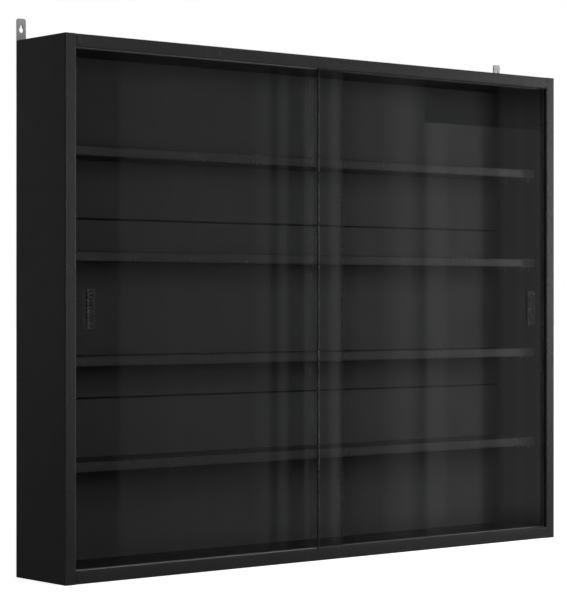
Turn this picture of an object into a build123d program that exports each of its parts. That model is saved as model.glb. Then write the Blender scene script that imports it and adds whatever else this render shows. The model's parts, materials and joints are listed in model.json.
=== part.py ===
from build123d import *
import os

# Wall display case for trading cards: a shallow board cabinet with four shelves behind two sliding
# panes of glass, hung on two keyhole plates. Millimetres; X runs along the width, Y from the front
# to the wall and Z up. The origin lies under the middle of the bounding box, on the bottom face.

os.makedirs("parts", exist_ok=True)

# --- Case boards ---
case_width = 800
case_height = 625
case_depth = 102
board_thickness = 15
board_arris = 0.4
edge_band_thickness = 2
edge_band_radius = 1.8

# --- Shelves ---
shelf_count = 4
shelf_thickness = 12
shelf_setback = 23
shelf_side_gap = 1.2
shelf_back_gap = 0.5

# --- Back in three boards, held in grooves ---
back_thickness = 3
back_setback = 6.5
back_middle_height = 213
back_seam_gap = 2
back_chamfer = 0.5
back_groove_depth = 5.5
back_groove_play = 0.1
back_end_gap = 0.5
tape_width = 38
tape_thickness = 0.2
tape_end_gap = 2

# --- Door tracks: two channels side by side, let into the top and bottom boards ---
track_setback = 3
channel_width = 5
track_lip = 1
track_rib = 2.5
track_web = 1.5
bottom_channel_depth = 4
top_channel_depth = 9
track_lip_radius = 0.4
track_play = 0.1
track_end_gap = 0.3

# --- Glass doors ---
glass_thickness = 4
glass_chamfer = 0.4
door_overlap = 45
meeting_offset = 3.5
door_closing_gap = 0.5
door_floor_gap = 0.1
door_top_engagement = 4

# --- Finger pulls, stuck to the panes ---
pull_width = 11.5
pull_height = 46
pull_thickness = 2.2
pull_ridge = 1.5
pull_scoop_depth = 1.2
pull_corner_radius = 1.5
pull_inset = 26.5
adhesive_thickness = 0.4
adhesive_margin = 1

# --- Hanging plates with keyholes ---
plate_width = 12
plate_thickness = 2
plate_rise = 26
plate_end_margin = 8
plate_corner_radius = 3
keyhole_radius = 3.2
keyhole_height = 12.5
keyhole_slot_width = 3.2
keyhole_slot_rise = 4.5
plate_screw_inset = 14
plate_screw_spacing = 26
screw_radius = 1.6
screw_head_radius = 3.2
screw_length = 25

# --- Radial clearance of every screw, pin and dowel in its bore ---
bore_play = 0.05

# --- Glued dowels that join the top and bottom to the sides ---
dowel_radius = 4
dowel_length = 30
dowel_side_depth = 10
dowel_end_play = 0.5
dowel_front_inset = 28
dowel_rear_inset = 28

# --- Shelf pins: a round shank in the side board and a flat tongue under the shelf ---
pin_radius = 2.5
pin_hole_depth = 10
pin_end_inset = 12
tongue_reach = 9
tongue_width = 8
tongue_thickness = 1.5

# --- Places worked out from the sizes ---
clear_width = case_width - 2 * board_thickness
clear_height = case_height - 2 * board_thickness
top_inner_z = case_height - board_thickness
front_y = -(case_depth + plate_thickness) / 2
rear_y = front_y + case_depth
core_front_y = front_y + edge_band_thickness
core_depth = case_depth - edge_band_thickness
core_middle_y = core_front_y + core_depth / 2

compartment_height = (clear_height - shelf_count * shelf_thickness) / (shelf_count + 1)
shelf_pitch = compartment_height + shelf_thickness
shelf_floors = [board_thickness + compartment_height + i * shelf_pitch for i in range(shelf_count)]
shelf_front_y = front_y + shelf_setback
shelf_width = clear_width - 2 * shelf_side_gap

back_rear_y = rear_y - back_setback
back_front_y = back_rear_y - back_thickness
back_middle_y = (back_front_y + back_rear_y) / 2
back_groove_width = back_thickness + 2 * back_groove_play
back_width = clear_width + 2 * (back_groove_depth - back_end_gap)
back_floor_z = board_thickness - back_groove_depth
back_top_z = top_inner_z + back_groove_depth - back_end_gap
seam_low_z = (case_height - back_middle_height) / 2
seam_high_z = (case_height + back_middle_height) / 2
half_seam = back_seam_gap / 2

track_width = 2 * track_lip + 2 * channel_width + track_rib
track_front_y = front_y + track_setback
track_middle_y = track_front_y + track_width / 2
front_channel_y = track_front_y + track_lip + channel_width / 2
rear_channel_y = front_channel_y + channel_width + track_rib
track_length = clear_width - 2 * track_end_gap

door_floor_z = board_thickness - bottom_channel_depth + door_floor_gap
door_height = top_inner_z + door_top_engagement - door_floor_z
door_middle_z = door_floor_z + door_height / 2

shelf_rear_y = back_front_y - shelf_back_gap
shelf_core_front_y = shelf_front_y + edge_band_thickness
pin_places_y = [shelf_core_front_y + pin_end_inset, shelf_rear_y - pin_end_inset]
pin_points = [(y, z - pin_radius) for z in shelf_floors for y in pin_places_y]
side_middle_x = case_width / 2 - board_thickness / 2
joint_heights = [board_thickness / 2, case_height - board_thickness / 2]
dowel_places_y = [front_y + dowel_front_inset, rear_y - dowel_rear_inset]
dowel_panel_depth = dowel_length - dowel_side_depth + dowel_end_play
keyhole_z = case_height + keyhole_height
plate_screw_heights = [top_inner_z - plate_screw_inset - i * plate_screw_spacing for i in range(2)]
plate_floor_z = plate_screw_heights[-1] - plate_end_margin
plate_height = case_height + plate_rise - plate_floor_z

SIDES = {"left": -1, "right": 1}


def write_piece(piece, name):
    """Label a finished piece and write it to its own STEP file."""
    piece.part.label = name
    export_step(piece.part, f"parts/{name}.step")


def side_panel(side):
    """A full-height side board, grooved and bored on its inner face."""
    inner_face = Plane.YZ.offset(side * clear_width / 2)
    with BuildPart() as panel:
        with BuildSketch(inner_face):
            with Locations((core_middle_y, case_height / 2)):
                Rectangle(core_depth, case_height)
        extrude(amount=side * board_thickness)
        outer_edges = panel.faces().sort_by(Axis.X)[0 if side < 0 else -1].edges()
        chamfer(outer_edges.sort_by(Axis.Y)[1:], length=board_arris)
        with BuildSketch(inner_face):
            with Locations((back_middle_y, case_height / 2)):
                Rectangle(back_groove_width, case_height)
        extrude(amount=side * back_groove_depth, mode=Mode.SUBTRACT)
        with BuildSketch(inner_face):
            with Locations(*pin_points):
                Circle(pin_radius + bore_play)
        extrude(amount=side * pin_hole_depth, mode=Mode.SUBTRACT)
        with BuildSketch(inner_face):
            with Locations(*[(y, z) for z in joint_heights for y in dowel_places_y]):
                Circle(dowel_radius + bore_play)
        extrude(amount=side * (dowel_side_depth + dowel_end_play), mode=Mode.SUBTRACT)
        with BuildSketch(Plane.XZ.offset(-rear_y)):
            with Locations(*[(side * side_middle_x, z) for z in plate_screw_heights]):
                Circle(screw_radius + bore_play)
        extrude(amount=screw_length, mode=Mode.SUBTRACT)
    return panel


def cross_panel(inner_z, outward, channel_depth):
    """The top or bottom board between the sides; outward is 1 for the top and -1 for the bottom."""
    inner_face = Plane.XY.offset(inner_z)
    middle_z = inner_z + outward * board_thickness / 2
    with BuildPart() as panel:
        with BuildSketch(inner_face):
            with Locations((0, core_middle_y)):
                Rectangle(clear_width, core_depth)
        extrude(amount=outward * board_thickness)
        with BuildSketch(inner_face):
            with Locations((0, track_middle_y)):
                Rectangle(clear_width, track_width + 2 * track_play)
        extrude(amount=outward * (channel_depth + track_web), mode=Mode.SUBTRACT)
        with BuildSketch(inner_face):
            with Locations((0, back_middle_y)):
                Rectangle(clear_width, back_groove_width)
        extrude(amount=outward * back_groove_depth, mode=Mode.SUBTRACT)
        for side in SIDES.values():
            with BuildSketch(Plane.YZ.offset(side * clear_width / 2)):
                with Locations(*[(y, middle_z) for y in dowel_places_y]):
                    Circle(dowel_radius + bore_play)
            extrude(amount=-side * dowel_panel_depth, mode=Mode.SUBTRACT)
    return panel


def side_edge_band(side):
    """The rounded strip glued to the front edge of a side board."""
    with BuildPart() as band:
        with BuildSketch(Plane.XY):
            with Locations((side * side_middle_x, front_y + edge_band_thickness / 2)):
                Rectangle(board_thickness, edge_band_thickness)
        extrude(amount=case_height)
        fillet(band.edges().filter_by(Axis.Z).group_by(Axis.Y)[0], radius=edge_band_radius)
    return band


def long_edge_band(length, band_front_y, floor_z, thickness):
    """A rounded strip along X for the front edge of a board of the given thickness."""
    with BuildPart() as band:
        with BuildSketch(Plane.YZ.offset(-length / 2)):
            with Locations((band_front_y + edge_band_thickness / 2, floor_z + thickness / 2)):
                Rectangle(edge_band_thickness, thickness)
        extrude(amount=length)
        fillet(band.edges().filter_by(Axis.X).group_by(Axis.Y)[0], radius=edge_band_radius)
    return band


def shelf(floor_z):
    """One loose shelf board without its edge band."""
    depth = shelf_rear_y - shelf_core_front_y
    with BuildPart() as board:
        with BuildSketch(Plane.XY.offset(floor_z)):
            with Locations((0, shelf_core_front_y + depth / 2)):
                Rectangle(shelf_width, depth)
        extrude(amount=shelf_thickness)
    return board


def back_board(floor_z, top_z):
    """One board of the back, with its front edges broken so that the seams show."""
    with BuildPart() as board:
        with BuildSketch(Plane.XZ.offset(-back_rear_y)):
            with Locations((0, (floor_z + top_z) / 2)):
                Rectangle(back_width, top_z - floor_z)
        extrude(amount=back_thickness)
        chamfer(board.faces().sort_by(Axis.Y)[0].edges().filter_by(Axis.X), length=back_chamfer)
    return board


def track(inner_z, outward, channel_depth):
    """A twin-channel plastic track, flush with the inner face of its board."""
    height = channel_depth + track_web
    with BuildPart() as profile:
        with BuildSketch(Plane.YZ.offset(-track_length / 2)):
            with Locations((track_middle_y, inner_z + outward * height / 2)):
                Rectangle(track_width, height)
            with Locations(*[(y, inner_z + outward * channel_depth / 2)
                             for y in (front_channel_y, rear_channel_y)]):
                Rectangle(channel_width, channel_depth, mode=Mode.SUBTRACT)
        extrude(amount=track_length)
        mouth_edges = profile.edges().filter_by(Axis.X).group_by(Axis.Z)[-1 if outward < 0 else 0]
        fillet(mouth_edges.sort_by(Axis.Y)[1:-1], radius=track_lip_radius)
    return profile


def glass_door(side, channel_y):
    """A pane with ground edges, closed against its own side board."""
    outer_x = side * (clear_width / 2 - door_closing_gap)
    meeting_x = meeting_offset - side * door_overlap / 2
    with BuildPart() as pane:
        with BuildSketch(Plane.XZ.offset(-(channel_y + glass_thickness / 2))):
            with Locations(((outer_x + meeting_x) / 2, door_middle_z)):
                Rectangle(abs(outer_x - meeting_x), door_height)
        extrude(amount=glass_thickness)
        chamfer(pane.edges(), length=glass_chamfer)
    return pane


def pull_adhesive(side, glass_y):
    """The thin adhesive pad between a finger pull and the face of its pane."""
    with BuildPart() as pad:
        with BuildSketch(Plane.XZ.offset(-glass_y)):
            with Locations((side * (clear_width / 2 - pull_inset), door_middle_z)):
                Rectangle(pull_width - 2 * adhesive_margin, pull_height - 2 * adhesive_margin)
        extrude(amount=adhesive_thickness)
    return pad


def finger_pull(side, glass_y):
    """A moulded strip with a finger scoop between two upright ridges."""
    half = pull_width / 2
    base_y = glass_y - adhesive_thickness
    face_y = base_y - pull_thickness
    middle_x = side * (clear_width / 2 - pull_inset)
    scoop_edge = half - pull_ridge
    with BuildPart() as pull:
        with BuildSketch(Plane.XY.offset(door_middle_z - pull_height / 2)):
            with BuildLine():
                base = Line((middle_x + half, base_y), (middle_x - half, base_y))
                left_end = Line(base @ 1, (middle_x - half, face_y))
                left_ridge = Line(left_end @ 1, (middle_x - scoop_edge, face_y))
                scoop = ThreePointArc(left_ridge @ 1, (middle_x, face_y + pull_scoop_depth),
                                      (middle_x + scoop_edge, face_y))
                right_ridge = Line(scoop @ 1, (middle_x + half, face_y))
                Line(right_ridge @ 1, base @ 0)
            make_face()
        extrude(amount=pull_height)
        fillet(pull.edges().filter_by(Axis.Z).group_by(Axis.Y)[0], radius=pull_ridge / 3)
        with BuildSketch(Plane.XZ.offset(-base_y)):
            with Locations((middle_x, door_middle_z)):
                RectangleRounded(pull_width, pull_height, radius=pull_corner_radius)
        extrude(amount=pull_thickness, mode=Mode.INTERSECT)
    return pull


def hanging_plate(side):
    """A flat steel strip on the rear edge of a side board, with a keyhole above the case."""
    wall_face = Plane.XZ.offset(-(rear_y + plate_thickness))
    middle_x = side * side_middle_x
    with BuildPart() as plate:
        with BuildSketch(wall_face):
            with Locations((middle_x, plate_floor_z + plate_height / 2)):
                RectangleRounded(plate_width, plate_height, radius=plate_corner_radius)
            with Locations((middle_x, keyhole_z)):
                Circle(keyhole_radius, mode=Mode.SUBTRACT)
            with Locations((middle_x, keyhole_z + keyhole_slot_rise / 2)):
                SlotCenterToCenter(keyhole_slot_rise, keyhole_slot_width, rotation=90,
                                   mode=Mode.SUBTRACT)
        extrude(amount=plate_thickness)
        screw_seats = [Plane((middle_x, rear_y + plate_thickness, z), x_dir=(1, 0, 0), z_dir=(0, 1, 0))
                       for z in plate_screw_heights]
        with Locations(*screw_seats):
            CounterSinkHole(radius=screw_radius + bore_play, counter_sink_radius=screw_head_radius,
                            depth=plate_thickness, counter_sink_angle=90)
    return plate


def plate_screws():
    """Countersunk wood screws, two in each hanging plate."""
    head_height = screw_head_radius - screw_radius
    with BuildPart() as screws:
        for side in SIDES.values():
            for z in plate_screw_heights:
                seat = Plane((side * side_middle_x, rear_y + plate_thickness, z))
                with BuildSketch(seat):
                    with BuildLine():
                        Polyline((0, 0), (screw_head_radius, 0), (screw_radius, -head_height),
                                 (screw_radius, -screw_length), (0, -screw_length), close=True)
                    make_face()
                revolve(axis=Axis(seat.origin, (0, 1, 0)))
    return screws


def wooden_dowels():
    """Beech dowels, two across each joint between a side and the top or bottom."""
    with BuildPart() as dowels:
        for side in SIDES.values():
            for z in joint_heights:
                with BuildSketch(Plane.YZ.offset(side * (clear_width / 2 + dowel_side_depth))):
                    with Locations(*[(y, z) for y in dowel_places_y]):
                        Circle(dowel_radius)
                extrude(amount=-side * dowel_length)
    return dowels


def shelf_pins():
    """Plug-in shelf supports, four under each shelf."""
    with BuildPart() as pins:
        for side in SIDES.values():
            inner_face = Plane.YZ.offset(side * clear_width / 2)
            with BuildSketch(inner_face):
                with Locations(*pin_points):
                    Circle(pin_radius)
            extrude(amount=side * pin_hole_depth)
            with BuildSketch(inner_face):
                with Locations(*[(y, z + pin_radius - tongue_thickness / 2) for y, z in pin_points]):
                    Rectangle(tongue_width, tongue_thickness)
            extrude(amount=-side * tongue_reach)
    return pins


def hinge_tapes():
    """Strips of tape across the two seams, on the wall side of the back."""
    with BuildPart() as tapes:
        with BuildSketch(Plane.XZ.offset(-back_rear_y)):
            with Locations((0, seam_low_z), (0, seam_high_z)):
                Rectangle(clear_width - 2 * tape_end_gap, tape_width)
        extrude(amount=-tape_thickness)
    return tapes


# --- Case ---
write_piece(cross_panel(board_thickness, -1, bottom_channel_depth), "bottom_panel")
write_piece(cross_panel(top_inner_z, 1, top_channel_depth), "top_panel")
write_piece(track(board_thickness, -1, bottom_channel_depth), "bottom_track")
write_piece(track(top_inner_z, 1, top_channel_depth), "top_track")
write_piece(long_edge_band(clear_width, front_y, 0, board_thickness), "bottom_edge_band")
write_piece(long_edge_band(clear_width, front_y, top_inner_z, board_thickness), "top_edge_band")
for name, side in SIDES.items():
    write_piece(side_panel(side), f"{name}_side_panel")
    write_piece(side_edge_band(side), f"{name}_edge_band")
    write_piece(hanging_plate(side), f"{name}_hanging_plate")
write_piece(plate_screws(), "hanging_plate_screws")
write_piece(wooden_dowels(), "wooden_dowels")

# --- Shelves ---
for number, floor_z in enumerate(shelf_floors, start=1):
    write_piece(shelf(floor_z), f"shelf_{number}")
    write_piece(long_edge_band(shelf_width, shelf_front_y, floor_z, shelf_thickness),
                f"shelf_{number}_edge_band")
write_piece(shelf_pins(), "shelf_pins")

# --- Back ---
write_piece(back_board(back_floor_z, seam_low_z - half_seam), "lower_back_board")
write_piece(back_board(seam_low_z + half_seam, seam_high_z - half_seam), "middle_back_board")
write_piece(back_board(seam_high_z + half_seam, back_top_z), "upper_back_board")
write_piece(hinge_tapes(), "back_hinge_tapes")

# --- Doors: the right pane runs in the front channel, the left pane behind it ---
for name, channel_y in (("left", rear_channel_y), ("right", front_channel_y)):
    side = SIDES[name]
    glass_face_y = channel_y - glass_thickness / 2
    write_piece(glass_door(side, channel_y), f"{name}_glass_door")
    write_piece(pull_adhesive(side, glass_face_y), f"{name}_pull_adhesive")
    write_piece(finger_pull(side, glass_face_y), f"{name}_finger_pull")
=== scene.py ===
"""The looks of a wall display case for trading cards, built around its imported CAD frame.

Metres, in the frame's own axes: X along the width, Y from the front to the wall, Z up.
"""
import json
from math import cos, pi, sin

import bmesh
import bpy
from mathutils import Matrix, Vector

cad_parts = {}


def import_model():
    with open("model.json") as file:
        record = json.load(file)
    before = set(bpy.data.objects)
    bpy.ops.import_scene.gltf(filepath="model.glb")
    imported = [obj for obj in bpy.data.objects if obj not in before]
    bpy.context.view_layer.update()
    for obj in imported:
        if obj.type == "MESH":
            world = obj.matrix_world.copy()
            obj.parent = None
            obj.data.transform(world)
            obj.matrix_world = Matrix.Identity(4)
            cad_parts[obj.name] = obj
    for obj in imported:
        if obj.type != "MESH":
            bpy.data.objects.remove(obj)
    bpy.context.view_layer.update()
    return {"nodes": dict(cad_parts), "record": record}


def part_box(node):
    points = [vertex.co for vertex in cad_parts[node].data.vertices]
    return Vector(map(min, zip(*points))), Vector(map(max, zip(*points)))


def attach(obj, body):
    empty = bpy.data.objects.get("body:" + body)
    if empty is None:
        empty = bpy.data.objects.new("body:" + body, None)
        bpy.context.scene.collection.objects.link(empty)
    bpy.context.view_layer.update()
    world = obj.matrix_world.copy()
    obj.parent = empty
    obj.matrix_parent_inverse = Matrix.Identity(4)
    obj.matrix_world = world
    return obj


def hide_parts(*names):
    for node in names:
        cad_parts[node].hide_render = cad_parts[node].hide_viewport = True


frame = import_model()
nodes = frame["nodes"]

X, Y, Z = range(3)
WHITE = (1, 1, 1, 1)
BLACK = (0, 0, 0, 1)

# --- Camera: place, target and reach in metres, lens and sensor in millimetres ---
CAMERA_PLACE = Vector((-1.7887, -2.1066, 0.3210))
CAMERA_TARGET = Vector((-0.0375, -0.0010, 0.3229))
CAMERA_REACH = 100
CAMERA_LENS = 138.85
CAMERA_SENSOR = 36

# --- Studio ---
WORLD_LEVEL = 0.55
FLOOR_GLOW = 0.8
FLOOR_COLOR = (0.5, 0.5, 0.5, 1)
FLOOR_SIZE = 40

# --- The dim room that only mirrors and glass see ---
ROOM_FRONT = -2.5
ROOM_BACK = 9
ROOM_LEFT = -3.2
ROOM_RIGHT = 5
ROOM_FLOOR = -0.45
ROOM_TOP = 3
ROOM_SIDE_TOP = 4
ROOM_DARK = 0.08

# --- The curtain on the room's front wall ---
# Heights between which it dims, at its top and at its hem.
CURTAIN_TOP = (0.86, 0.94)
CURTAIN_HEM = (-0.36, -0.27)
# The window behind it: the height of its head, its left edge, and both sides of its right edge.
WINDOW_HEAD = 0.83
WINDOW_LEFT = 2.485
WINDOW_RIGHT = (2.77, 2.79)
# The curtain's upright folds, between two places along X: each fold's place and brightness.
FOLDS_START = 1.0
FOLDS_END = 3.0
FOLDS = ((1.43, 0.01), (1.445, 0.07), (1.87, 0.10), (1.89, 0.12), (1.925, 0.13),
         (1.94, 0.04), (1.953, 0.04), (1.96, 0.11), (1.985, 0.12), (2.0, 0.03),
         (2.05, 0.03), (2.056, 0.13), (2.12, 0.06), (2.154, 0.17), (2.185, 0.02),
         (2.24, 0.08), (2.32, 0.10), (2.41, 0.24), (2.48, 0.08), (2.51, 0.29),
         (2.60, 0.22), (2.71, 0.20), (2.725, 0.10), (2.77, 0.12), (2.81, 0.23))

# --- Lamps: places and sizes in metres, power in watts ---
# Sheen lamps stand just before the room's front wall: name, left edge, right edge, power.
SHEEN_GAP = 0.01
SHEEN_BOTTOM = -0.3
SHEEN_TOP = 1.3
SHEEN_LAMPS = (("front_sheen", -0.8, 1.15, 7.5),
               ("right_sheen", 3.12, 4.4, 13.5))
# Matt lamps face one point of the case: name, place, width, height, power.
LIGHT_TARGET = Vector((0.1, 0, 0.32))
MATT_LAMPS = (("near_lamp", (0.58, -0.88, 0.55), 0.5, 0.5, 12),
              ("front_lamp", (0.4, -2.5, 0.4), 1.4, 1.0, 15))

# --- Screws of the hanging plates, in metres ---
SCREW_HEAD_RADIUS = 0.0032
SCREW_HEAD_RIM = 0.0001
SCREW_CREST_RADIUS = 0.0016
SCREW_CORE_RADIUS = 0.0011
SCREW_LENGTH = 0.025
SCREW_POINT = 0.004
SCREW_PITCH = 0.0018
RECESS_REACH = 0.0017
RECESS_WIDTH = 0.0004
RECESS_DEPTH = 0.0012
# Their tip's share of the full radius, and how finely their mesh is divided.
SCREW_TIP = 0.05
SCREW_SIDES = 24
RINGS_PER_TURN = 8

# --- Board: how deep the raw rear edges reach from the rear face ---
RAW_SKIN = 0.0006

# Corners of a Blender bounding box with the lowest and the highest coordinates.
LOW_CORNER = 0
HIGH_CORNER = 6

# Sockets of Blender's colour mix node.
COLOR_A = 6
COLOR_B = 7
COLOR_RESULT = 2


class Finish:
    """One material: its Principled shader, and short calls that add and link nodes."""

    def __init__(self, name, **sockets):
        self.material = bpy.data.materials.new(name)
        self.material.use_nodes = True
        self.tree = self.material.node_tree
        self.shader = self.tree.nodes["Principled BSDF"]
        self.output = self.tree.nodes["Material Output"]
        self.place = self.add("ShaderNodeTexCoord").outputs["Object"]
        for socket, value in sockets.items():
            self.shader.inputs[socket.replace("_", " ")].default_value = value

    def add(self, kind):
        return self.tree.nodes.new(kind)

    def link(self, source, socket):
        self.tree.links.new(source, socket)

    def feed(self, socket, value):
        """Link a node's output to a socket, or set the socket to a plain value."""
        if isinstance(value, bpy.types.NodeSocket):
            self.link(value, socket)
        else:
            socket.default_value = value

    def math(self, operation, first, second=0.0):
        node = self.add("ShaderNodeMath")
        node.operation = operation
        self.feed(node.inputs[0], first)
        self.feed(node.inputs[1], second)
        return node.outputs[0]

    def stretched(self, stretch):
        """The object's coordinates, multiplied axis by axis."""
        node = self.add("ShaderNodeMapping")
        node.inputs["Scale"].default_value = stretch
        self.link(self.place, node.inputs["Vector"])
        return node.outputs["Vector"]

    def noise(self, scale, detail, stretch=None):
        node = self.add("ShaderNodeTexNoise")
        node.inputs["Scale"].default_value = scale
        node.inputs["Detail"].default_value = detail
        self.link(self.stretched(stretch) if stretch else self.place, node.inputs["Vector"])
        return node.outputs["Fac"]

    def cells(self, scale, stretch=None):
        node = self.add("ShaderNodeTexVoronoi")
        node.inputs["Scale"].default_value = scale
        self.link(self.stretched(stretch) if stretch else self.place, node.inputs["Vector"])
        return node.outputs

    def spread(self, value, low, high, start=0.3, end=0.7):
        """A value brought from the range start to end into the range low to high."""
        node = self.add("ShaderNodeMapRange")
        self.link(value, node.inputs["Value"])
        node.inputs["From Min"].default_value = start
        node.inputs["From Max"].default_value = end
        node.inputs["To Min"].default_value = low
        node.inputs["To Max"].default_value = high
        return node.outputs["Result"]

    def blend(self, factor, first, second):
        """A colour between two others, each a plain colour or a node's output."""
        node = self.add("ShaderNodeMix")
        node.data_type = "RGBA"
        self.feed(node.inputs[0], factor)
        self.feed(node.inputs[COLOR_A], first)
        self.feed(node.inputs[COLOR_B], second)
        return node.outputs[COLOR_RESULT]

    def facing(self, axis):
        """The normal's part along one axis; the bodies only slide, so it stays with them."""
        split = self.add("ShaderNodeSeparateXYZ")
        self.link(self.add("ShaderNodeNewGeometry").outputs["Normal"], split.inputs["Vector"])
        return split.outputs[axis]

    def coordinate(self, axis):
        """The place along one of the object's own axes."""
        split = self.add("ShaderNodeSeparateXYZ")
        self.link(self.place, split.inputs["Vector"])
        return split.outputs[axis]

    def color(self, value):
        self.feed(self.shader.inputs["Base Color"], value)

    def roughness(self, value):
        self.feed(self.shader.inputs["Roughness"], value)

    def bump(self, height, distance):
        node = self.add("ShaderNodeBump")
        node.inputs["Distance"].default_value = distance
        node.inputs["Strength"].default_value = 1.0
        self.link(height, node.inputs["Height"])
        self.link(node.outputs["Normal"], self.shader.inputs["Normal"])

    def worn_arrises(self, color, worn_color, amount):
        """A colour that lightens in patches on rounded edges, where the surface faces two axes."""
        turned = [self.math("ABSOLUTE", self.facing(axis)) for axis in (X, Y, Z)]
        pairs = [self.math("MULTIPLY", turned[first], turned[second])
                 for first, second in ((X, Y), (Y, Z), (X, Z))]
        corner = self.math("ADD", self.math("ADD", pairs[0], pairs[1]), pairs[2])
        patches = self.spread(self.noise(35, 4), 0.25, 1.0)
        wear = self.math("MULTIPLY", self.math("MULTIPLY", corner, patches), amount)
        return self.blend(wear, color, worn_color)


def melamine():
    """Black melamine-coated chipboard; its rear edges, which face the wall, are left raw."""
    finish = Finish("black_melamine", Specular_IOR_Level=0.4)
    coat = finish.blend(finish.noise(9, 3), (0.0085, 0.0085, 0.0087, 1),
                        (0.0115, 0.0115, 0.0117, 1))
    coat = finish.worn_arrises(coat, (0.06, 0.06, 0.06, 1), 0.4)
    flakes = finish.cells(620, stretch=(1, 1, 0.35))["Color"]
    chips = finish.blend(finish.noise(420, 3), (0.23, 0.13, 0.06, 1), (0.50, 0.34, 0.19, 1))
    chips = finish.blend(finish.spread(flakes, 0.0, 0.55), chips, (0.12, 0.065, 0.03, 1))
    rear = nodes["left_side_panel"].bound_box[HIGH_CORNER][Y]
    faces_wall = finish.math("GREATER_THAN", finish.facing(Y), 0.9)
    at_rear = finish.math("GREATER_THAN", finish.coordinate(Y), rear - RAW_SKIN)
    raw = finish.math("MULTIPLY", faces_wall, at_rear)
    finish.color(finish.blend(raw, coat, chips))
    satin = finish.spread(finish.noise(45, 4), 0.38, 0.48)
    finish.roughness(finish.math("ADD", satin, finish.math("MULTIPLY", raw, 0.45)))
    pearl = finish.noise(1500, 2)
    grit = finish.math("MULTIPLY", finish.noise(700, 4), finish.math("MULTIPLY", raw, 6))
    finish.bump(finish.math("ADD", pearl, grit), 0.00004)
    return finish.material


def edge_band():
    """Black ABS strip, a little smoother than the boards, rubbed at its rounded edges."""
    finish = Finish("black_edge_band", Specular_IOR_Level=0.65)
    plastic = finish.blend(finish.noise(14, 3), (0.010, 0.010, 0.0102, 1),
                           (0.0135, 0.0135, 0.0137, 1))
    finish.color(finish.worn_arrises(plastic, (0.08, 0.08, 0.08, 1), 0.16))
    finish.roughness(finish.spread(finish.noise(60, 4), 0.262, 0.276))
    finish.bump(finish.noise(1300, 2), 0.000003)
    return finish.material


def fibreboard():
    """Thin fibreboard, lacquered black inside and raw brown on the wall side."""
    finish = Finish("lacquered_fibreboard", Specular_IOR_Level=0.06)
    lacquer = finish.blend(finish.noise(7, 3), (0.020, 0.020, 0.0202, 1),
                           (0.0245, 0.0245, 0.0247, 1))
    fibres = finish.noise(260, 5, stretch=(1, 1, 0.5))
    raw_color = finish.blend(fibres, (0.13, 0.075, 0.038, 1), (0.25, 0.155, 0.085, 1))
    raw = finish.math("GREATER_THAN", finish.facing(Y), 0.5)
    finish.color(finish.blend(raw, lacquer, raw_color))
    satin = finish.spread(finish.noise(50, 3), 0.52, 0.60)
    finish.roughness(finish.math("ADD", satin, finish.math("MULTIPLY", raw, 0.35)))
    finish.bump(finish.noise(1100, 3), 0.00001)
    return finish.material


def tape():
    """Hinge tape over the seams, with faint wrinkles along its length; coloured far darker than
    black tape, as painted shade in the seams.
    """
    finish = Finish("tape_painted_seam_shade", Specular_IOR_Level=0.05)
    # Painted shade: a near-black, darker than real tape, so the seams between the back boards look
    # as dark as their shade.
    finish.color(finish.blend(finish.noise(30, 3), (0.0015, 0.0015, 0.0015, 1),
                              (0.003, 0.003, 0.003, 1)))
    finish.roughness(finish.spread(finish.noise(80, 3), 0.45, 0.60))
    finish.bump(finish.noise(90, 4, stretch=(0.25, 1, 1)), 0.0004)
    return finish.material


def track_plastic():
    """Extruded dark grey plastic with draw lines along the profile and rub marks of the glass."""
    finish = Finish("grey_track_plastic", Specular_IOR_Level=0.5)
    rubbed = finish.spread(finish.noise(160, 3, stretch=(0.05, 1, 1)), 0.0, 1.0, 0.4, 0.75)
    finish.color(finish.blend(rubbed, (0.12, 0.118, 0.111, 1), (0.16, 0.157, 0.149, 1)))
    finish.roughness(finish.spread(finish.noise(220, 3, stretch=(0.05, 1, 1)), 0.22, 0.36))
    finish.bump(finish.noise(1400, 2, stretch=(0.01, 1, 1)), 0.00003)
    return finish.material


def pane_glass():
    """Clear float glass with rougher, greener ground edges.

    Light reaches the inside of the case through the panes as if they bent nothing, and hardly
    at all through the strips of them that stand in the tracks.
    """
    finish = Finish("float_glass", Transmission_Weight=1.0, IOR=1.5)
    ground = finish.math("LESS_THAN", finish.math("ABSOLUTE", finish.facing(Y)), 0.95)
    finish.color(finish.blend(ground, (0.90, 0.91, 0.905, 1), (0.42, 0.46, 0.445, 1)))
    grain = finish.spread(finish.noise(900, 2), 0.22, 0.34)
    finish.roughness(finish.math("MULTIPLY", ground, grain))
    height = finish.coordinate(Z)
    channel_top = nodes["bottom_track"].bound_box[HIGH_CORNER][Z]
    channel_bottom = nodes["top_track"].bound_box[LOW_CORNER][Z]
    in_tracks = finish.math("ADD", finish.math("LESS_THAN", height, channel_top),
                            finish.math("GREATER_THAN", height, channel_bottom))
    clear = finish.add("ShaderNodeBsdfTransparent")
    finish.feed(clear.inputs["Color"], finish.blend(in_tracks, (0.86, 0.87, 0.865, 1),
                                                    (0.1, 0.1, 0.1, 1)))
    mix = finish.add("ShaderNodeMixShader")
    finish.link(finish.add("ShaderNodeLightPath").outputs["Is Shadow Ray"], mix.inputs["Fac"])
    finish.link(finish.shader.outputs["BSDF"], mix.inputs[1])
    finish.link(clear.outputs["BSDF"], mix.inputs[2])
    finish.link(mix.outputs["Shader"], finish.output.inputs["Surface"])
    return finish.material


def smoky_plastic():
    """Smoky see-through plastic of the finger pulls, with moulding marks and fine scratches."""
    finish = Finish("smoky_plastic", Transmission_Weight=0.985, IOR=1.2)
    finish.color(finish.blend(finish.noise(120, 3), (0.68, 0.69, 0.685, 1),
                              (0.76, 0.77, 0.765, 1)))
    scratches = finish.noise(900, 2, stretch=(1, 1, 0.06))
    finish.roughness(finish.spread(scratches, 0.06, 0.16))
    finish.bump(finish.noise(350, 2, stretch=(1, 1, 0.2)), 0.00002)
    return finish.material


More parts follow.
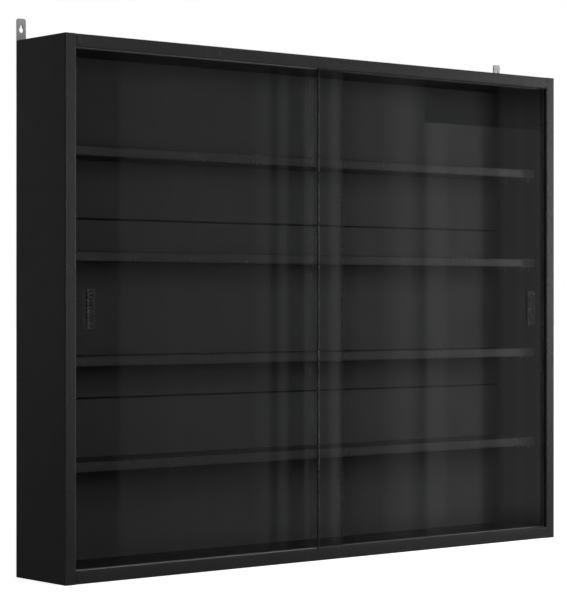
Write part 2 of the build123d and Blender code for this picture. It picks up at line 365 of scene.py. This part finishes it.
def adhesive():
    """Clear adhesive pad, slightly cloudy with trapped bubbles."""
    finish = Finish("clear_adhesive", Transmission_Weight=1.0, IOR=1.1)
    bubbles = finish.spread(finish.cells(900)["Distance"], 1.0, 0.0, 0.1, 0.4)
    finish.color(finish.blend(bubbles, (0.86, 0.86, 0.86, 1), (0.92, 0.92, 0.92, 1)))
    finish.roughness(finish.spread(finish.noise(500, 2), 0.15, 0.30))
    finish.bump(bubbles, 0.000005)
    return finish.material


def zinc():
    """Zinc-plated steel strip: faint spangle, rolling lines and dull patches."""
    finish = Finish("zinc_plate", Metallic=0.45)
    spangle = finish.cells(420)["Color"]
    tone = finish.blend(finish.noise(130, 4), (0.31, 0.31, 0.32, 1), (0.42, 0.42, 0.43, 1))
    finish.color(finish.blend(finish.spread(spangle, 0.0, 0.35), tone, (0.50, 0.50, 0.51, 1)))
    finish.roughness(finish.spread(finish.noise(240, 4), 0.34, 0.52))
    finish.bump(finish.noise(1200, 2, stretch=(1, 1, 0.05)), 0.00003)
    return finish.material


def plated_steel():
    """Bright plating on the shelf supports and screws."""
    finish = Finish("plated_steel", Metallic=1.0)
    finish.color(finish.blend(finish.noise(300, 3), (0.46, 0.45, 0.42, 1),
                              (0.62, 0.61, 0.57, 1)))
    finish.roughness(finish.spread(finish.noise(500, 3), 0.20, 0.36))
    finish.bump(finish.noise(1600, 2), 0.00002)
    return finish.material


def beech():
    """Plain beech with fine rays, for the dowels."""
    finish = Finish("beech", Specular_IOR_Level=0.3)
    grain = finish.noise(420, 4, stretch=(0.06, 1, 1))
    finish.color(finish.blend(grain, (0.36, 0.22, 0.11, 1), (0.62, 0.44, 0.26, 1)))
    finish.roughness(finish.spread(grain, 0.55, 0.75))
    finish.bump(grain, 0.0001)
    return finish.material


def dress_nodes():
    """Give every CAD node the finish of its material slot in the record."""
    finishes = {"board": melamine(), "edge_band": edge_band(), "back_board": fibreboard(),
                "hinge_tape": tape(), "track": track_plastic(), "door_glass": pane_glass(),
                "pull": smoky_plastic(), "adhesive": adhesive(), "hanging_plate": zinc(),
                "screw": plated_steel(), "pin": plated_steel(), "dowel": beech()}
    for subpart in frame["record"]["subparts"]:
        node = nodes[subpart["node"]]
        node.data.materials.clear()
        node.data.materials.append(finishes[subpart["material_slot"]])


def screw_rings():
    """One screw from its head's face down: the depth of each ring, and its radius at every side."""
    rings = [(0, [SCREW_HEAD_RADIUS - 2 * SCREW_HEAD_RIM] * SCREW_SIDES),
             (SCREW_HEAD_RIM, [SCREW_HEAD_RADIUS - SCREW_HEAD_RIM] * SCREW_SIDES)]
    head_depth = SCREW_HEAD_RADIUS - SCREW_CREST_RADIUS
    shank = SCREW_LENGTH - head_depth
    thread_depth = SCREW_CREST_RADIUS - SCREW_CORE_RADIUS
    steps = round(shank / SCREW_PITCH * RINGS_PER_TURN)
    for step in range(steps + 1):
        depth = head_depth + shank * step / steps
        taper = max(SCREW_TIP, min(1, (SCREW_LENGTH - depth) / SCREW_POINT))
        radii = []
        for side in range(SCREW_SIDES):
            turn = (depth / SCREW_PITCH - side / SCREW_SIDES) % 1
            crest = max(0, 1 - 4 * abs(turn - 0.5))
            radii.append(taper * (SCREW_CORE_RADIUS + crest * thread_depth))
        rings.append((depth, radii))
    return rings


def ring_corners(mesh, x, y, z, radii):
    """The corners of one ring of a screw, around an axis that points to the wall."""
    corners = []
    for side, radius in enumerate(radii):
        angle = 2 * pi * side / SCREW_SIDES
        corners.append(mesh.verts.new((x + radius * cos(angle), y, z + radius * sin(angle))))
    return corners


def cross_corners(mesh, x, y, z, reach):
    """The twelve corners of a cross that faces the wall."""
    corners = []
    arm = [(reach, -RECESS_WIDTH), (reach, RECESS_WIDTH), (RECESS_WIDTH, RECESS_WIDTH)]
    for quarter in range(4):
        corners += [mesh.verts.new((x + across, y, z + up)) for across, up in arm]
        arm = [(-up, across) for across, up in arm]
    return corners


def skin(mesh, upper, lower, smooth):
    """Faces between two rings of corners; returns the edges of the upper ring."""
    for side, corner in enumerate(upper):
        after = (side + 1) % len(upper)
        mesh.faces.new((corner, upper[after], lower[after], lower[side])).smooth = smooth
    return [mesh.edges.get((upper[side - 1], corner)) for side, corner in enumerate(upper)]


def add_screw(mesh, x, face_y, z):
    """A countersunk wood screw driven towards the front, with a cross recess and a thread."""
    rings = [ring_corners(mesh, x, face_y - depth, z, radii) for depth, radii in screw_rings()]
    rim = skin(mesh, rings[0], rings[1], False)
    skin(mesh, rings[1], rings[2], False)
    for upper, lower in zip(rings[2:], rings[3:]):
        skin(mesh, upper, lower, True)
    mesh.faces.new(rings[-1])
    mouth = cross_corners(mesh, x, face_y, z, RECESS_REACH)
    bottom = cross_corners(mesh, x, face_y - RECESS_DEPTH, z, RECESS_REACH / 2)
    rim += skin(mesh, mouth, bottom, False)
    mesh.faces.new(bottom)
    bmesh.ops.triangle_fill(mesh, use_beauty=True, edges=rim, normal=(0, 1, 0))


def plate_screws():
    """Detailed screws in place of the plain ones in the CAD frame."""
    low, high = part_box("hanging_plate_screws")
    mesh = bmesh.new()
    for x in (low[X] + SCREW_HEAD_RADIUS, high[X] - SCREW_HEAD_RADIUS):
        for z in (low[Z] + SCREW_HEAD_RADIUS, high[Z] - SCREW_HEAD_RADIUS):
            add_screw(mesh, x, high[Y], z)
    bmesh.ops.recalc_face_normals(mesh, faces=mesh.faces)
    data = bpy.data.meshes.new("plate_screws")
    mesh.to_mesh(data)
    mesh.free()
    data.materials.append(nodes["hanging_plate_screws"].data.materials[0])
    piece = bpy.data.objects.new("plate_screws", data)
    bpy.context.scene.collection.objects.link(piece)
    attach(piece, "case")
    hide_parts("hanging_plate_screws")


def camera():
    data = bpy.data.cameras.new("camera")
    data.sensor_fit = "HORIZONTAL"
    data.sensor_width = CAMERA_SENSOR
    data.lens = CAMERA_LENS
    data.clip_end = CAMERA_REACH
    view = bpy.data.objects.new("camera", data)
    view.location = CAMERA_PLACE
    view.rotation_euler = (CAMERA_TARGET - CAMERA_PLACE).to_track_quat("-Z", "Y").to_euler()
    bpy.context.scene.collection.objects.link(view)
    bpy.context.scene.camera = view


def seen_directly(tree):
    """1 for rays from the camera, mirrors and glass, which see the background as white, else 0."""
    path = tree.nodes.new("ShaderNodeLightPath")
    seen = path.outputs["Is Camera Ray"]
    for kind in ("Is Glossy Ray", "Is Transmission Ray"):
        either = tree.nodes.new("ShaderNodeMath")
        either.operation = "MAXIMUM"
        tree.links.new(seen, either.inputs[0])
        tree.links.new(path.outputs[kind], either.inputs[1])
        seen = either.outputs[0]
    return seen


def world():
    """Soft light from everywhere; white to the camera, to mirrors and through glass."""
    surroundings = bpy.data.worlds.new("studio")
    bpy.context.scene.world = surroundings
    surroundings.use_nodes = True
    tree = surroundings.node_tree
    background = tree.nodes["Background"]
    background.inputs["Color"].default_value = WHITE
    level = tree.nodes.new("ShaderNodeMapRange")
    level.inputs["To Min"].default_value = WORLD_LEVEL
    level.inputs["To Max"].default_value = 1
    tree.links.new(seen_directly(tree), level.inputs["Value"])
    tree.links.new(level.outputs["Result"], background.inputs["Strength"])


def sheet(name, corners, material):
    """A flat four-cornered piece of the studio."""
    mesh = bpy.data.meshes.new(name)
    mesh.from_pydata(corners, [], [(0, 1, 2, 3)])
    mesh.materials.append(material)
    piece = bpy.data.objects.new(name, mesh)
    bpy.context.scene.collection.objects.link(piece)
    return piece


def floor():
    """Pale floor that stays white to the camera and keeps the soft shadow of the case."""
    finish = Finish("floor", Base_Color=FLOOR_COLOR, Roughness=0.9, Specular_IOR_Level=0.0,
                    Emission_Color=WHITE)
    glow = finish.math("MULTIPLY", seen_directly(finish.tree), FLOOR_GLOW)
    finish.feed(finish.shader.inputs["Emission Strength"], glow)
    half = FLOOR_SIZE / 2
    piece = sheet("floor", [(-half, -half, 0), (half, -half, 0), (half, half, 0),
                            (-half, half, 0)], finish.material)
    piece.visible_glossy = False
    piece.visible_transmission = False


def reflection_card(name, corners, material):
    """A studio card that only mirrors and glass see."""
    card = sheet(name, corners, material)
    card.visible_camera = False
    card.visible_diffuse = False
    card.visible_shadow = False
    card.visible_volume_scatter = False


def level_card(name, z, material):
    """A reflection card as long and wide as the room."""
    reflection_card(name, [(ROOM_LEFT, ROOM_FRONT, z), (ROOM_RIGHT, ROOM_FRONT, z),
                           (ROOM_RIGHT, ROOM_BACK, z), (ROOM_LEFT, ROOM_BACK, z)], material)


def curtain():
    """The dim curtained wall that the panes mirror: upright folds, and a window behind them."""
    finish = Finish("room_wall", Base_Color=BLACK, Specular_IOR_Level=0.0)
    along = finish.coordinate(X)
    height = finish.coordinate(Z)
    ramp = finish.add("ShaderNodeValToRGB")
    finish.link(finish.spread(along, 0.0, 1.0, FOLDS_START, FOLDS_END), ramp.inputs["Fac"])
    elements = ramp.color_ramp.elements
    while len(elements) < len(FOLDS):
        elements.new(1.0)
    for element, (place, brightness) in zip(elements, FOLDS):
        element.position = (place - FOLDS_START) / (FOLDS_END - FOLDS_START)
        element.color = (brightness, brightness, brightness, 1)
    below_head = finish.math("LESS_THAN", height, WINDOW_HEAD)
    left_of_window = finish.math("LESS_THAN", along, WINDOW_LEFT)
    off_lintel = finish.math("MAXIMUM", below_head, left_of_window)
    right_of_window = finish.spread(along, 0.1, 0.7, *WINDOW_RIGHT)
    strength = finish.spread(finish.noise(14, 3, stretch=(1, 0, 0)), 0.8, 1.2)
    for factor in (finish.spread(height, 1.0, 0.4, *CURTAIN_TOP),
                   finish.spread(height, 0.3, 1.0, *CURTAIN_HEM),
                   finish.math("MAXIMUM", off_lintel, right_of_window)):
        strength = finish.math("MULTIPLY", strength, factor)
    finish.link(ramp.outputs["Color"], finish.shader.inputs["Emission Color"])
    finish.link(strength, finish.shader.inputs["Emission Strength"])
    return finish.material


def dim_room():
    """What the glass mirrors: a curtained wall, and a dark floor, ceiling and left wall."""
    reflection_card("room_wall",
                    [(ROOM_LEFT, ROOM_FRONT, ROOM_FLOOR), (ROOM_RIGHT, ROOM_FRONT, ROOM_FLOOR),
                     (ROOM_RIGHT, ROOM_FRONT, ROOM_TOP), (ROOM_LEFT, ROOM_FRONT, ROOM_TOP)],
                    curtain())
    dark = Finish("room_dark", Base_Color=BLACK, Specular_IOR_Level=0.0, Emission_Color=WHITE,
                  Emission_Strength=ROOM_DARK).material
    level_card("room_floor", ROOM_FLOOR, dark)
    level_card("room_ceiling", ROOM_TOP, dark)
    reflection_card("room_side",
                    [(ROOM_LEFT, ROOM_FRONT, ROOM_FLOOR), (ROOM_LEFT, ROOM_BACK, ROOM_FLOOR),
                     (ROOM_LEFT, ROOM_BACK, ROOM_SIDE_TOP),
                     (ROOM_LEFT, ROOM_FRONT, ROOM_SIDE_TOP)], dark)


def lamp(name, place, target, width, height, power):
    """A rectangular lamp facing a point."""
    data = bpy.data.lights.new(name, "AREA")
    data.shape = "RECTANGLE"
    data.size = width
    data.size_y = height
    data.energy = power
    piece = bpy.data.objects.new(name, data)
    piece.location = place
    piece.rotation_euler = (target - place).to_track_quat("-Z", "Y").to_euler()
    bpy.context.scene.collection.objects.link(piece)
    return piece


def sheen_lamp(name, left, right, power):
    """An upright lamp across the room that satin faces mirror, and the panes don't."""
    place = Vector(((left + right) / 2, ROOM_FRONT + SHEEN_GAP, (SHEEN_BOTTOM + SHEEN_TOP) / 2))
    piece = lamp(name, place, place + Vector((0, 1, 0)), right - left, SHEEN_TOP - SHEEN_BOTTOM,
                 power)
    piece.visible_diffuse = False
    # A lamp without multiple importance sampling isn't mirrored by glass.
    piece.data.cycles.use_multiple_importance_sampling = False


def matt_lamp(name, place, width, height, power):
    """A lamp for the matt part of the shading; mirrors and glass don't show it."""
    piece = lamp(name, Vector(place), LIGHT_TARGET, width, height, power)
    piece.visible_glossy = False
    piece.visible_transmission = False


dress_nodes()
plate_screws()
camera()
world()
floor()
dim_room()
for settings in SHEEN_LAMPS:
    sheen_lamp(*settings)
for settings in MATT_LAMPS:
    matt_lamp(*settings)
bpy.context.scene.view_settings.view_transform = "Standard"
